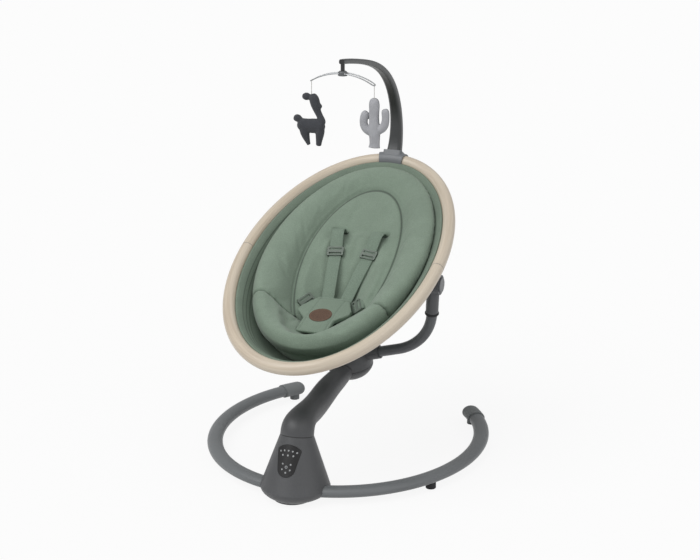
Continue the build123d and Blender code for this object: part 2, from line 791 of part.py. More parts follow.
with BuildPart() as buckle_button:
    with BuildSketch(buckle_top.offset(-buckle_size[2] / 2 + buckle_floor + buckle_button_travel + slip)):
        Circle(buckle_button_radius)
    extrude(amount=buckle_size[2] - buckle_floor - buckle_button_travel - slip + buckle_button_proud)
finish(buckle_button, "buckle_button")

middle_plane = Plane(origin=seat.origin, x_dir=seat.y_dir, z_dir=(1, 0, 0))


def crotch_side(top_lift, thickness):
    crown_t = (crotch_top_t + crotch_foot_t) / 2
    with BuildSketch(middle_plane, mode=Mode.PRIVATE) as outline:
        with BuildLine():
            upper = ThreePointArc((crotch_foot_t, crotch_foot_n + top_lift), (crown_t, crotch_crown + top_lift),
                                  (crotch_top_t, crotch_top_n + top_lift))
            nose = Line(upper @ 1, (crotch_top_t, crotch_top_n + top_lift - thickness * 0.55))
            lower = ThreePointArc(nose @ 1, (crown_t, crotch_crown + top_lift - thickness),
                                  (crotch_foot_t, crotch_foot_n + top_lift - thickness * 0.6))
            Line(lower @ 1, upper @ 0)
        make_face()
    return outline.sketch.face()


with BuildPart() as crotch_pad:
    extrude(crotch_side(0, crotch_thickness), amount=crotch_flare * 2, both=True)
    with BuildSketch(seat.offset(-ring_half_width)) as crotch_plan:
        with BuildLine():
            foot = crotch_foot_t + crotch_trim
            head_end = crotch_top_t - crotch_trim
            right_edge = Polyline((crotch_half_width, foot), (crotch_half_width, crotch_flare_t - 30),
                                  (crotch_flare, crotch_flare_t - 6), (crotch_flare, crotch_flare_t + 8),
                                  (crotch_half_width, head_end))
            mirror(right_edge, about=Plane.YZ)
            Line(right_edge @ 0, (-crotch_half_width, foot))
            Line(right_edge @ 1, (-crotch_half_width, head_end))
        make_face()
        fillet(crotch_plan.vertices(), crotch_corner)
    extrude(amount=2 * ring_half_width, mode=Mode.INTERSECT)
finish(crotch_pad, "crotch_pad")

with BuildPart() as leather_badge:
    extrude(crotch_side(badge_thickness + slip / 10, badge_thickness), amount=crotch_flare, both=True)
    with BuildSketch(seat.offset(-ring_half_width)):
        with Locations((0, badge_t)):
            Ellipse(badge_half_width, badge_half_height)
    extrude(amount=2 * ring_half_width, mode=Mode.INTERSECT)
    extrude(crotch_side(slip / 10, crotch_thickness), amount=crotch_flare, both=True, mode=Mode.SUBTRACT)
finish(leather_badge, "leather_badge")

# Toy arch: a clip on the ring's head end, a curved tapering bar that pulls out of it, and the mobile
ring_head = seat.from_local_coords((0, ring_half_length, 0))
foot_dir = Vector(0, cos(radians(foot_angle)), sin(radians(foot_angle)))
arch_foot = ring_head + foot_dir * foot_distance
arch_start = arch_foot - foot_dir * foot_depth / 2
foot_plane = Plane(origin=arch_foot, x_dir=(1, 0, 0), z_dir=foot_dir)
clip_angle = degrees(clip_reach / ring_half_width)
clip_path = ring_path(90 - clip_angle, 2 * clip_angle)
with BuildPart() as toy_clip:
    with BuildSketch(foot_plane.offset(-foot_distance)):
        RectangleRounded(clip_block, ring_tube + clip_wall, clip_corner)
    extrude(amount=foot_distance - slip)
    sweep(sections=ring_profile(clip_path, ring_tube / 2 + clip_wall), path=clip_path)
    long_cut = ring_path(90 - 2 * clip_angle, 4 * clip_angle)
    sweep(sections=ring_profile(long_cut, ring_tube / 2 + press), path=long_cut, mode=Mode.SUBTRACT)
    with BuildSketch(foot_plane.offset(-slip)):
        RectangleRounded(foot_width, foot_thickness, foot_corner)
    extrude(amount=foot_depth + slip)
finish(toy_clip, "toy_clip")

with BuildLine(side_plane, mode=Mode.PRIVATE) as arch_line:
    Spline((arch_start.Y, arch_start.Z), *arch_points)
arch_curve = arch_line.line.edge()


def arch_section(share, width, depth, shift=0):
    along = arch_curve % share
    inward = Vector(1, 0, 0).cross(along)
    origin = arch_curve @ share + inward * shift
    with BuildSketch(Plane(origin=origin, x_dir=(1, 0, 0), z_dir=along), mode=Mode.PRIVATE) as outline:
        RectangleRounded(width, depth, depth * 0.32)
    return outline.sketch.face()


tip = arch_curve @ 1
post_foot = tip.Z - arch_depths[-1] / 2 - post_length
arch_shares = [index / (len(arch_widths) - 1) for index in range(len(arch_widths))]
with BuildPart() as toy_arch:
    loft(sections=[arch_section(*row) for row in zip(arch_shares, arch_widths, arch_depths)])
    with BuildSketch(foot_plane):
        Rectangle(2 * clip_block, 2 * clip_block)
    extrude(amount=-foot_depth, mode=Mode.SUBTRACT)
    with BuildSketch(foot_plane):
        RectangleRounded(foot_width + 2 * slip, foot_thickness + 2 * slip, foot_corner + slip)
    extrude(amount=foot_depth + slip, mode=Mode.SUBTRACT)
    with Locations((0, post_y, post_foot)):
        Cylinder(post_radius, post_length, align=(Align.CENTER, Align.CENTER, Align.MIN))
        Cylinder(hanger_pin_radius, hanger_hub_height - 2, align=(Align.CENTER, Align.CENTER, Align.MAX))
finish(toy_arch, "toy_arch")

wire_top = post_foot - slip - hanger_hub_height / 2
wire_arc = (wire_half_span ** 2 + wire_drop ** 2) / (2 * wire_drop)
end_slope = asin(wire_half_span / wire_arc)
wire_end_z = wire_top - wire_drop


def wire_arc_at(y, from_side):
    return ThreePointArc((from_side * wire_half_span, y, wire_end_z), (0, y, wire_top),
                         (-from_side * wire_half_span, y, wire_end_z))


def wire_loop(side, y_from):
    out = wire_half_span + wire_half_gap * cos(end_slope)
    return ThreePointArc((side * wire_half_span, post_y + y_from, wire_end_z),
                         (side * out, post_y, wire_end_z - wire_half_gap * sin(end_slope)),
                         (side * wire_half_span, post_y - y_from, wire_end_z))


with BuildPart() as hanger_wire:
    with BuildLine() as wire_path:
        wire_arc_at(post_y - wire_half_gap, -1)
        wire_loop(1, -wire_half_gap)
        wire_arc_at(post_y + wire_half_gap, 1)
        wire_loop(-1, wire_half_gap)
    start = Plane(origin=wire_path.wires()[0] @ 0, z_dir=wire_path.wires()[0] % 0)
    with BuildSketch(start, mode=Mode.PRIVATE) as wire_section:
        Circle(wire_radius)
    sweep(sections=wire_section.sketch.face(), path=wire_path.wires()[0])
finish(hanger_wire, "hanger_wire")

with BuildPart() as hanger_hub:
    with Locations((0, post_y, post_foot - slip)):
        Cylinder(hanger_hub_radius, hanger_hub_height, align=(Align.CENTER, Align.CENTER, Align.MAX))
    fillet(hanger_hub.edges().group_by(Axis.Z)[-1], hanger_hub_height * 0.45)
    with Locations((0, post_y, post_foot)):
        Cylinder(hanger_pin_radius + running, hanger_hub_height - 1.5, mode=Mode.SUBTRACT,
                 align=(Align.CENTER, Align.CENTER, Align.MAX))
    add(hanger_wire.part, mode=Mode.SUBTRACT)
finish(hanger_hub, "hanger_hub")

string_top = wire_end_z - wire_half_gap * sin(end_slope) - wire_radius
string_x = wire_half_span + wire_half_gap * cos(end_slope) - wire_radius
toy_top = string_top - string_length + string_tuck


# Stuffed toys, each limb a loft through ovals square to its middle line; X and drop from the string
def limb(origin_x, stations):
    faces = []
    for index, (x, drop, half) in enumerate(stations):
        before = stations[max(index - 1, 0)]
        after = stations[min(index + 1, len(stations) - 1)]
        along = Vector(after[0] - before[0], 0, before[1] - after[1]).normalized()
        plane = Plane(origin=(origin_x + x, post_y, toy_top - drop), x_dir=(0, 1, 0), z_dir=along)
        faces.append(oval(plane, min(toy_thickness, half * 0.8), half))
    return faces


animal_snout = ((6, 20, 6), (13, 23, 6), (18, 25, 5), (21, 26, 2.5))
animal_limbs = {
    "animal_body": ((-27, 58, 5), (-22, 62, 12), (-6, 64, 14), (12, 63, 14), (22, 62, 10), (26, 61, 4)),
    "animal_head": ((20, 60, 7), (19, 48, 7), (13, 36, 7), (9, 25, 9), (6, 14, 10), (3, 5, 8), (2, 1, 4)),
    "animal_ear": ((-19, 7, 3), (-15, 7, 6.5), (-10, 7, 7.5), (-5, 7, 6), (-3, 7, 4)),
    "animal_tail": ((-37, 49, 3), (-34, 50, 6.5), (-29, 51, 7.5), (-24, 53, 6), (-21, 55, 4)),
    "animal_hind_leg": ((-15, 66, 10), (-14, 80, 9), (-10, 92, 6), (-6, 102, 3.6)),
    "animal_front_leg": ((17, 66, 9), (16.5, 80, 8.5), (15, 92, 6.5), (14, 102, 5.5)),
}
cactus_limbs = {
    "cactus_trunk": ((0, 0, 4), (0, 5, 9), (0, 14, 10.5), (0, 50, 10.5), (1, 78, 10.5), (0, 96, 12)),
    "cactus_left_arm": ((-2, 66, 7), (-12, 64, 8), (-20, 55, 8), (-21, 42, 8), (-18, 30, 7), (-16, 26, 3)),
    "cactus_right_arm": ((2, 62, 7), (13, 60, 8), (21, 50, 8), (23, 36, 7.5), (22, 23, 7), (21, 19, 3)),
}
for toy_side, limbs in ((-1, animal_limbs), (1, cactus_limbs)):
    larger = []
    for limb_name, stations in limbs.items():
        with BuildPart() as toy_limb:
            loft(sections=limb(toy_side * string_x, stations))
            if limb_name == "animal_head":
                loft(sections=limb(toy_side * string_x, animal_snout))
            for other in larger:
                add(other, mode=Mode.SUBTRACT)
            with Locations((toy_side * string_x, post_y, string_top - string_length)):
                Cylinder(string_radius + press, string_length, mode=Mode.SUBTRACT,
                         align=(Align.CENTER, Align.CENTER, Align.MIN))
        larger.append(toy_limb.part)
        finish(toy_limb, limb_name)

for toy_name, toy_side in (("animal", -1), ("cactus", 1)):
    with BuildPart() as toy_string:
        with Locations((toy_side * string_x, post_y, string_top)):
            Cylinder(string_radius, string_length, align=(Align.CENTER, Align.CENTER, Align.MAX))
    finish(toy_string, f"{toy_name}_string")
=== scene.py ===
from math import cos, pi, radians, sin

import bmesh
import bpy
import numpy as np
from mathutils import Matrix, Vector


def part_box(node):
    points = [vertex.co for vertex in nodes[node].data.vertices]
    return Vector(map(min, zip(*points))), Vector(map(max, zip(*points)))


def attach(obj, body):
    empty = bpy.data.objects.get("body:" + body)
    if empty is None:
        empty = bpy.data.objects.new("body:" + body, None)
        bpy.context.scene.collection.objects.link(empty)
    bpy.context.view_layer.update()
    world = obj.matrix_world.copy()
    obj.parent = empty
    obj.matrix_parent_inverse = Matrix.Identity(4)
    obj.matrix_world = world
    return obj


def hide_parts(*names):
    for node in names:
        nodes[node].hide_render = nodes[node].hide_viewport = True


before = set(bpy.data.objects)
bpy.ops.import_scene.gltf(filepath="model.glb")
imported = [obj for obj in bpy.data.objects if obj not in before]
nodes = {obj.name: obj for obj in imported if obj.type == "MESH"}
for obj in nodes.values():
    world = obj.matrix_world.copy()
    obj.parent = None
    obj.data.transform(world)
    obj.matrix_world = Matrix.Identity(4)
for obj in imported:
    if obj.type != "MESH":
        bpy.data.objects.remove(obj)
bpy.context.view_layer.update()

# Camera: a long lens in front of the swing, a little to its right and above the seat,
# so that the seat's bowl and the stem under it both show.
scene = bpy.context.scene
scene.view_settings.view_transform = "Standard"
azimuth = radians(21.04)
elevation = radians(17.5)
target = Vector((0.0139, 0.2663, 0.3577))
camera_distance = 3.71
away = Vector((sin(azimuth) * cos(elevation), -cos(azimuth) * cos(elevation), sin(elevation)))
camera = bpy.data.objects.new("camera", bpy.data.cameras.new("camera"))
camera.data.lens = 97.4
camera.data.sensor_width = 36
camera.location = target + away * camera_distance
camera.rotation_euler = (-away).to_track_quat("-Z", "Y").to_euler()
scene.collection.objects.link(camera)
scene.camera = camera


class Wire:
    """A shader socket that does sums, and the one way to add any other node."""

    def __init__(self, tree, socket=None):
        self.tree = tree
        self.socket = socket

    def node(self, kind, settings=None, out=0, **sockets):
        made = self.tree.nodes.new(kind)
        for key, value in (settings or {}).items():
            if key == "stops":
                ramp = made.color_ramp.elements
                while len(ramp) < len(value):
                    ramp.new(0.5)
                for element, (place, shade) in zip(ramp, value):
                    element.position = place
                    element.color = shade
            else:
                setattr(made, key, value)
        for key, value in sockets.items():
            taken = made.inputs[int(key[1:])] if key[1:].isdigit() else made.inputs[key.replace("_", " ")]
            if isinstance(value, Wire):
                self.tree.links.new(value.socket, taken)
            else:
                taken.default_value = value
        return Wire(self.tree, made.outputs[out])

    def maths(self, operation, *values):
        sockets = {f"_{n}": value for n, value in enumerate(values)}
        return self.node("ShaderNodeMath", {"operation": operation}, **sockets)

    def __add__(self, other):
        return self.maths("ADD", self, other)

    def __sub__(self, other):
        return self.maths("SUBTRACT", self, other)

    def __rsub__(self, other):
        return self.maths("SUBTRACT", other, self)

    def __mul__(self, other):
        return self.maths("MULTIPLY", self, other)

    def __truediv__(self, other):
        return self.maths("DIVIDE", self, other)

    def __pow__(self, other):
        return self.maths("POWER", self, other)

    def __abs__(self):
        return self.maths("ABSOLUTE", self)

    __radd__ = __add__
    __rmul__ = __mul__

    def place(self):
        return self.node("ShaderNodeTexCoord", out=3)

    def axes(self, vector):
        split = self.node("ShaderNodeSeparateXYZ", Vector=vector).socket.node
        return [Wire(self.tree, output) for output in split.outputs]

    def vector(self, x, y, z):
        return self.node("ShaderNodeCombineXYZ", X=x, Y=y, Z=z)

    def noise(self, vector, scale, detail=2.0, rough=0.5):
        return self.node("ShaderNodeTexNoise", Vector=vector, Scale=scale, Detail=detail, Roughness=rough)

    def fade(self, value, near, far):
        """1 where value is below near, 0 where it is above far."""
        return self.node("ShaderNodeMapRange", {"interpolation_type": "SMOOTHSTEP"}, _0=value, _1=near, _2=far,
                         _3=1.0, _4=0.0)

    def tint(self, share, first, second):
        return self.node("ShaderNodeMix", {"data_type": "RGBA"}, out=2, _0=share, _6=first, _7=second)

    def relief(self, height, depth, under=None):
        sockets = {"Height": height, "Distance": depth}
        if under is not None:
            sockets["Normal"] = under
        return self.node("ShaderNodeBump", **sockets)


def srgb(red, green, blue, gain=1.0):
    """A colour written as it shows on a screen, 0 to 255."""
    def linear(c):
        c = c / 255
        return gain * (c / 12.92 if c < 0.04045 else ((c + 0.055) / 1.055) ** 2.4)
    return (linear(red), linear(green), linear(blue), 1.0)


def surface(name, paint):
    """A material whose Principled sockets take what paint returns."""
    material = bpy.data.materials.new(name)
    material.use_nodes = True
    tree = material.node_tree
    shader = tree.nodes["Principled BSDF"]
    for key, value in paint(Wire(tree)).items():
        if isinstance(value, Wire):
            tree.links.new(value.socket, shader.inputs[key])
        else:
            shader.inputs[key].default_value = value
    return material


def dress(material, *names):
    """The CAD nodes of these names get that material."""
    for name in names:
        for place in nodes[name].material_slots:
            place.material = material


def new_piece(name, verts, faces, material, body, smooth=True):
    """A mesh in the row frame, in metres, that moves with a body."""
    mesh = bpy.data.meshes.new(name)
    mesh.from_pydata([tuple(v) for v in verts], [], faces)
    made = bpy.data.objects.new(name, mesh)
    scene.collection.objects.link(made)
    mesh.polygons.foreach_set("use_smooth", [smooth] * len(mesh.polygons))
    mesh.materials.append(material)
    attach(made, body)
    return made


def settle(piece):
    """The piece's modifiers become its mesh."""
    graph = bpy.context.evaluated_depsgraph_get()
    mesh = bpy.data.meshes.new_from_object(piece.evaluated_get(graph))
    piece.modifiers.clear()
    piece.data = mesh
    return piece


# Floor and light: a pale floor that keeps the swing's soft shadow, an even sky, and a broad lamp high on
# the left with a weaker one on the right.
floor_mesh = bpy.data.meshes.new("floor")
floor_mesh.from_pydata([(-30, -30, 0), (30, -30, 0), (30, 40, 0), (-30, 40, 0)], [], [(0, 1, 2, 3)])
floor = bpy.data.objects.new("floor", floor_mesh)
scene.collection.objects.link(floor)
floor_paint = bpy.data.materials.new("pale_floor")
floor_paint.use_nodes = True
wire = Wire(floor_paint.node_tree)
path = wire.node("ShaderNodeLightPath")
seen = wire.maths("MAXIMUM", Wire(wire.tree, path.socket.node.outputs["Is Camera Ray"]),
                  wire.maths("MAXIMUM", Wire(wire.tree, path.socket.node.outputs["Is Glossy Ray"]),
                             Wire(wire.tree, path.socket.node.outputs["Is Transmission Ray"])))
matte = wire.node("ShaderNodeBsdfDiffuse", Color=(0.72, 0.72, 0.72, 1))
glow = wire.node("ShaderNodeEmission", Color=(1, 1, 1, 1), Strength=1.0)
mixed = wire.node("ShaderNodeMixShader", _0=seen * 0.9, _1=matte, _2=glow)
wire.tree.links.new(mixed.socket, floor_paint.node_tree.nodes["Material Output"].inputs["Surface"])
floor_mesh.materials.append(floor_paint)

world = bpy.data.worlds.new("sky")
scene.world = world
world.use_nodes = True
world.node_tree.nodes["Background"].inputs["Color"].default_value = (1, 1, 1, 1)
world.node_tree.nodes["Background"].inputs["Strength"].default_value = 0.5
lamps = (("key", 1.75, 50, (-0.55, -0.75, 1.25)),
         ("fill", 0.45, 60, (1.0, -0.35, 0.7)))
for lamp_name, strength, spread, source in lamps:
    lamp = bpy.data.objects.new(lamp_name, bpy.data.lights.new(lamp_name, "SUN"))
    lamp.data.energy = strength
    lamp.data.angle = radians(spread)
    lamp.rotation_euler = Vector(source).to_track_quat("Z", "Y").to_euler()
    scene.collection.objects.link(lamp)


# Floor frame: two bent oval steel tubes with a grey powder coat, moulded end caps with a fine grain, and
# rubber feet pressed on underneath.
def coat_paint(colour, rough, grain=900.0, depth=0.00006):
    def paint(w):
        place = w.place()
        fine = w.noise(place, grain, 2.0)
        cloud = w.noise(place, 9.0, 3.0)
        shade = w.tint(w.fade(cloud, 0.35, 0.65), colour, tuple(c * 0.9 for c in colour[:3]) + (1.0,))
        return {"Base Color": shade, "Roughness": rough + (fine - 0.5) * 0.12, "Normal": w.relief(fine, depth)}
    return paint


def coated(name, *looks):
    return surface(name, coat_paint(*looks))


grey_coat = coated("grey_powder_coat", srgb(108, 111, 113), 0.42)
dress(grey_coat, "left_leg_tube", "right_leg_tube", "leg_joiner", "ring_sleeves")
cap_plastic = coated("grained_cap_plastic", srgb(116, 119, 120), 0.6, 500.0, 0.00025)
dress(cap_plastic, "leg_caps")
rubber = coated("black_rubber", srgb(40, 40, 42), 0.75, 700.0, 0.0001)
dress(rubber, "leg_feet", "hub_foot_pad", "arm_seals")


# Hub, stem and drive head: moulded dark grey shells with a fine spark-eroded grain, a parting line, and
# a gloss black touch panel with small pale marks.
shell_look = (srgb(77, 78, 80), 0.46, 1100.0, 0.00007)
parting_y = 0.025
parting_z = 0.122
parting_lean = radians(11.6)


def coat_with_seam(w):
    sockets = coat_paint(*shell_look)(w)
    x, y, z = w.axes(w.place())
    along = (y - parting_y) * sin(parting_lean) + (z - parting_z) * cos(parting_lean)
    line = w.fade(abs(along), 0.0004, 0.0012)
    sockets["Base Color"] = w.tint(line, sockets["Base Color"], srgb(30, 30, 31))
    return sockets


dark_shell = coated("dark_grey_shell", *shell_look)
dress(dark_shell, "bottom_plate", "head_lower_shell", "head_upper_shell", "magnet_arm", "speaker",
      "power_socket")
dress(surface("seamed_grey_shell", coat_with_seam), "base_hub", "stem")
steel = surface("bright_steel", lambda w: {"Base Color": srgb(186, 188, 190), "Metallic": 1.0,
                                           "Roughness": 0.28 + w.noise(w.place(), 400.0) * 0.1})
dress(steel, "hub_screws", "head_bearings", "swing_shaft", "drive_magnet", "pivot_pins")
copper = surface("wound_copper", lambda w: {"Base Color": srgb(168, 104, 62), "Metallic": 1.0,
                                            "Roughness": 0.35 + w.noise(w.place(), 900.0) * 0.15})
dress(copper, "drive_coil")
dress(coated("board_green", srgb(40, 82, 54), 0.5), "control_board")

panel_low, panel_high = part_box("control_panel")
panel_middle = (panel_low[2] + panel_high[2]) / 2
marks = [(a * 0.0082, 0.0205 - 0.0009 * a * a, 0.0017, 0.0) for a in (-2, -1, 0, 1, 2)]
marks += [(a * 0.0105, 0.0115 - 0.0006 * a * a, 0.0018, 0.0) for a in (-1, 0, 1)]
marks += [(0.0092 * sin(k * pi / 3), -0.0105 + 0.0105 * cos(k * pi / 3), 0.0017, 0.0) for k in range(1, 6)]
marks += [(0.0, -0.0105, 0.0028, 0.0016)]


def panel_paint(w):
    x, y, z = w.axes(w.place())
    up = (z - panel_middle) * 1.1
    mask = None
    for mark_x, mark_z, outer, inner in marks:
        reach = ((x - mark_x) ** 2.0 + (up - mark_z) ** 2.0) ** 0.5
        dot = w.fade(reach, outer * 0.8, outer * 1.1)
        if inner:
            dot = dot * (1.0 - w.fade(reach, inner * 0.8, inner * 1.1))
        mask = dot if mask is None else w.maths("MAXIMUM", mask, dot)
    return {"Base Color": w.tint(mask * 0.7, srgb(24, 24, 25), srgb(176, 178, 180)),
            "Roughness": 0.38 + mask * 0.2, "Coat Weight": 0.05}


dress(surface("black_touch_panel", panel_paint), "control_panel")

# Yoke: two bent steel tubes, dark coated, pushed into the head's sockets and into the pivot housings, whose
# round barrels carry the seat's pins behind the recline buttons.
yoke_coat = coated("dark_powder_coat", srgb(88, 90, 93), 0.4)
dress(yoke_coat, "left_yoke_tube", "right_yoke_tube")
pivot_plastic = coated("pivot_plastic", srgb(80, 81, 84), 0.45)
dress(pivot_plastic, "left_pivot_housing", "right_pivot_housing", "ring_brackets")
dress(coated("button_plastic", srgb(92, 94, 97), 0.36), "left_recline_button", "right_recline_button")

# Seat ring: two bent tubes wrapped in a satin beige film with a faint lengthwise wood grain, joined by hidden
# sleeves at the sides. Distances on the seat are x across, t up along it and n out from it.
tilt = radians(23.2)
seat_origin = Vector((0, 0.252, 0.406))
seat_t = Vector((0, cos(tilt), sin(tilt)))
seat_n = Vector((0, -sin(tilt), cos(tilt)))
ring_half_x = 0.198
ring_half_t = 0.323
tube = 0.0125


def seat_point(x, t, n):
    return seat_origin + Vector((x, 0, 0)) + seat_t * t + seat_n * n


def seat_axes(w):
    x, y, z = w.axes(w.place())
    t = (y - seat_origin.y) * seat_t.y + (z - seat_origin.z) * seat_t.z
    n = (y - seat_origin.y) * seat_n.y + (z - seat_origin.z) * seat_n.z
    return x, t, n


def ring_paint(w):
    x, t, n = seat_axes(w)
    round_way = w.maths("ARCTAN2", t / ring_half_t, x / ring_half_x)
    reach = ((x / ring_half_x) ** 2.0 + (t / ring_half_t) ** 2.0) ** 0.5
    grain = w.noise(w.vector(round_way * 2.2, reach * 60.0, n * 320.0), 1.0, 4.0, 0.6)
    broad = w.noise(w.vector(round_way * 1.1, reach * 14.0, n * 70.0), 1.0, 2.0)
    pale = w.tint(w.fade(grain, 0.35, 0.68), srgb(200, 187, 168), srgb(185, 171, 152))
    shade = w.tint(w.fade(broad, 0.35, 0.7) * 0.5, pale, srgb(208, 198, 182))
    return {"Base Color": shade, "Roughness": 0.34 + grain * 0.12, "Coat Weight": 0.15,
            "Normal": w.relief(grain, 0.00008)}


dress(surface("beige_ring_film", ring_paint), "upper_ring", "lower_ring")


# Seat sling: a sewn cloth bowl that hangs from the ring, with a corded hem against the tube and two welt
# seams that run round it below the hem.
def melange(w, colour, dark, vector, relief=0.00025):
    """Jersey colour and weave bump: flecked yarn over a fine knit."""
    fleck = w.noise(vector, 520.0, 3.0, 0.7)
    cloud = w.noise(vector, 26.0, 3.0)
    shade = w.tint(w.fade(fleck, 0.34, 0.66) * 0.5, colour, dark)
    shade = w.tint(w.fade(cloud, 0.35, 0.68) * 0.22, shade, dark)
    x, y, z = w.axes(vector)
    knit = w.maths("SINE", x * 2600.0) * w.maths("SINE", (y + z) * 2600.0)
    return shade, w.relief(fleck * 0.7 + knit * 0.3, relief)


sage = srgb(129, 146, 130)
sage_dark = srgb(104, 119, 105)
deep_sage = srgb(122, 137, 122)
deep_sage_dark = srgb(97, 110, 98)


def smooth_through(rows, count):
    """Rows of numbers as one natural spline, read at even steps."""
    rows = np.array(rows, float)
    size = len(rows)
    place = np.concatenate(([0], np.cumsum(np.linalg.norm(np.diff(rows, axis=0), axis=1))))
    gap = np.diff(place)
    system = np.eye(size)
    right = np.zeros_like(rows)
    for i in range(1, size - 1):
        system[i, i - 1:i + 2] = gap[i - 1], 2 * (gap[i - 1] + gap[i]), gap[i]
        right[i] = 6 * ((rows[i + 1] - rows[i]) / gap[i] - (rows[i] - rows[i - 1]) / gap[i - 1])
    bend = np.linalg.solve(system, right)
    out = []
    for s in np.linspace(0, place[-1], count):
        i = min(np.searchsorted(place, s, "right") - 1, size - 2)
        a = (place[i + 1] - s) / gap[i]
        b = (s - place[i]) / gap[i]
        curve = ((a ** 3 - a) * bend[i] + (b ** 3 - b) * bend[i + 1]) * gap[i] ** 2 / 6
        out.append(a * rows[i] + b * rows[i + 1] + curve)
    return np.array(out)


hem_room = 0.0045
cloth_thick = 0.0025
rim_x = ring_half_x - tube - hem_room
rim_t = ring_half_t - tube - hem_room
sling_levels = ((0, 0, 0, 0), (26, 18, 26, -6), (60, 45, 69, -24), (90, 81, 131, -42), (112, 132, 213, -55))
profile = smooth_through([(d / 1000, rim_x - a / 1000, rim_t - b / 1000, c / 1000)
                          for d, a, b, c in sling_levels], 44)
sling_verts = []
sling_faces = []
around = 160
rings = []
hem = [(-0.0035, 0.0005), (-0.0048, 0.0025), (-0.0035, 0.0042), (-0.0005, 0.0046)]
for depth, half_x, half_t, shift in profile[::-1]:
    rings.append((depth, half_x, half_t, shift))
for up, out in hem[::-1]:
    rings.append((up, rim_x + out, rim_t + out, 0.0))
for depth, half_x, half_t, shift in profile:
    welt = sum(0.0012 * np.exp(-((depth - line) / 0.0022) ** 2) for line in (0.010, 0.019))
    inset = cloth_thick + welt
    rings.append((max(depth - cloth_thick, -0.001), half_x - inset, half_t - inset, shift))
for depth, half_x, half_t, shift in rings:
    for k in range(around):
        angle = 2 * pi * k / around
        sling_verts.append(seat_point(half_x * cos(angle), shift + half_t * sin(angle), -depth))
for r in range(len(rings) - 1):
    for k in range(around):
        n = (k + 1) % around
        sling_faces.append((r * around + k, r * around + n, (r + 1) * around + n, (r + 1) * around + k))
sling_faces.append(tuple(range(around))[::-1])
sling_faces.append(tuple((len(rings) - 1) * around + k for k in range(around)))


def sling_paint(w):
    x, t, n = seat_axes(w)
    shade, bump = melange(w, deep_sage, deep_sage_dark, w.place())
    # Painted shade: three dark lines in the creases beside the welts, standing in for the shade that falls
    # there.
    first, second, third = (w.fade(abs(n + depth), 0.0006, 0.0013) for depth in (0.0062, 0.0145, 0.023))
    dark_seam_and_crease_shade = w.maths("MAXIMUM", w.maths("MAXIMUM", first, second), third)
    return {"Base Color": w.tint(dark_seam_and_crease_shade * 0.6, shade, srgb(62, 72, 63)), "Roughness": 0.9, "Normal": bump}


sling_cloth = surface("dark_sage_cloth", sling_paint)
sling = new_piece("cloth_sling", sling_verts, sling_faces, sling_cloth, "seat")
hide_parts("seat_sling")


# Cushions: a padded back and a separate leg roll in flecked sage jersey, filled with wadding. An oval seam
# parts the middle of the back from its broad border, and two slots let the shoulder straps through.
seam_half_x = 0.092
seam_half_t = 0.200
seam_t = 0.031
slots = ((-0.044, 0.112), (0.044, 0.112))
shoulder_line = ((0.043, 0.105, -0.017), (0.016, -0.072, -0.072))
waist_line = ((0.064, -0.070, -0.047), (0.026, -0.090, -0.0715))
band_room = 0.003
split_t = -0.124
jersey_grid = 0.005
jersey_press = 4.0
jersey_swell = 0.008
roll_tuck = 0.21


def seam_gap(x, t):
    """About how far a point lies from the oval seam, in metres."""
    reach = ((x / seam_half_x) ** 2 + ((t - seam_t) / seam_half_t) ** 2) ** 0.5
    return (reach - 1) * seam_half_x


def slot_shape(x, t, half, soft):
    """1 on the two strap slots, fading to 0 beside them."""
    return sum(np.exp(-(np.maximum(abs(x - a) - half, 0) ** 2 + (t - b) ** 2) / soft ** 2) for a, b in slots)


def seat_numbers(verts):
    moved = verts - np.array(seat_origin)
    return verts[:, 0], moved @ np.array(seat_t), moved @ np.array(seat_n)


def read_points(mesh, normals=False):
    data = np.empty(len(mesh.vertices) * 3)
    (mesh.vertex_normals if normals else mesh.vertices).foreach_get("vector" if normals else "co", data)
    return data.reshape(-1, 3)


def write_points(mesh, verts):
    mesh.vertices.foreach_set("co", verts.ravel())
    mesh.update()


def soft_copy(name, sources, voxel, material):
    """A copy of soft CAD solids as one closed, even mesh."""
    form = bmesh.new()
    for source in sources:
        form.from_mesh(nodes[source].data)
    bmesh.ops.remove_doubles(form, verts=form.verts, dist=0.00002)
    mesh = bpy.data.meshes.new(name)
    form.to_mesh(mesh)
    form.free()
    mesh.materials.clear()
    mesh.materials.append(material)
    piece = bpy.data.objects.new(name, mesh)
    scene.collection.objects.link(piece)
    remesh = piece.modifiers.new("remesh", "REMESH")
    remesh.mode = "VOXEL"
    remesh.voxel_size = voxel
    remesh.use_smooth_shade = True
    settle(piece)
    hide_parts(*sources)
    return piece


def even_out(piece, rounds, share=0.5):
    ease = piece.modifiers.new("ease", "SMOOTH")
    ease.factor = share
    ease.iterations = rounds
    settle(piece)


def inflate(piece, pressure, cap, pinned, frames=16):
    """Cloth swollen by its filling, with pinned points held and no point moved further than cap."""
    before = read_points(piece.data)
    held = piece.vertex_groups.new(name="held")
    for share in np.unique(pinned.round(2)):
        if share > 0:
            held.add([int(i) for i in np.nonzero(pinned.round(2) == share)[0]], float(share), "REPLACE")
    cloth = piece.modifiers.new("filling", "CLOTH")
    cloth.settings.quality = 4
    cloth.settings.mass = 0.2
    cloth.settings.tension_stiffness = 20
    cloth.settings.compression_stiffness = 20
    cloth.settings.bending_stiffness = 0.8
    cloth.settings.use_pressure = True
    cloth.settings.uniform_pressure_force = pressure
    cloth.settings.effector_weights.gravity = 0
    cloth.settings.vertex_group_mass = "held"
    cloth.point_cache.frame_start = 1
    cloth.point_cache.frame_end = frames
    for step in range(1, frames + 1):
        scene.frame_set(step)
    settle(piece)
    scene.frame_set(1)
    move = read_points(piece.data) - before
    length = np.linalg.norm(move, axis=1, keepdims=True)
    move *= np.minimum(1, cap / np.maximum(length, 1e-9))
    write_points(piece.data, before + move)
    piece.vertex_groups.clear()


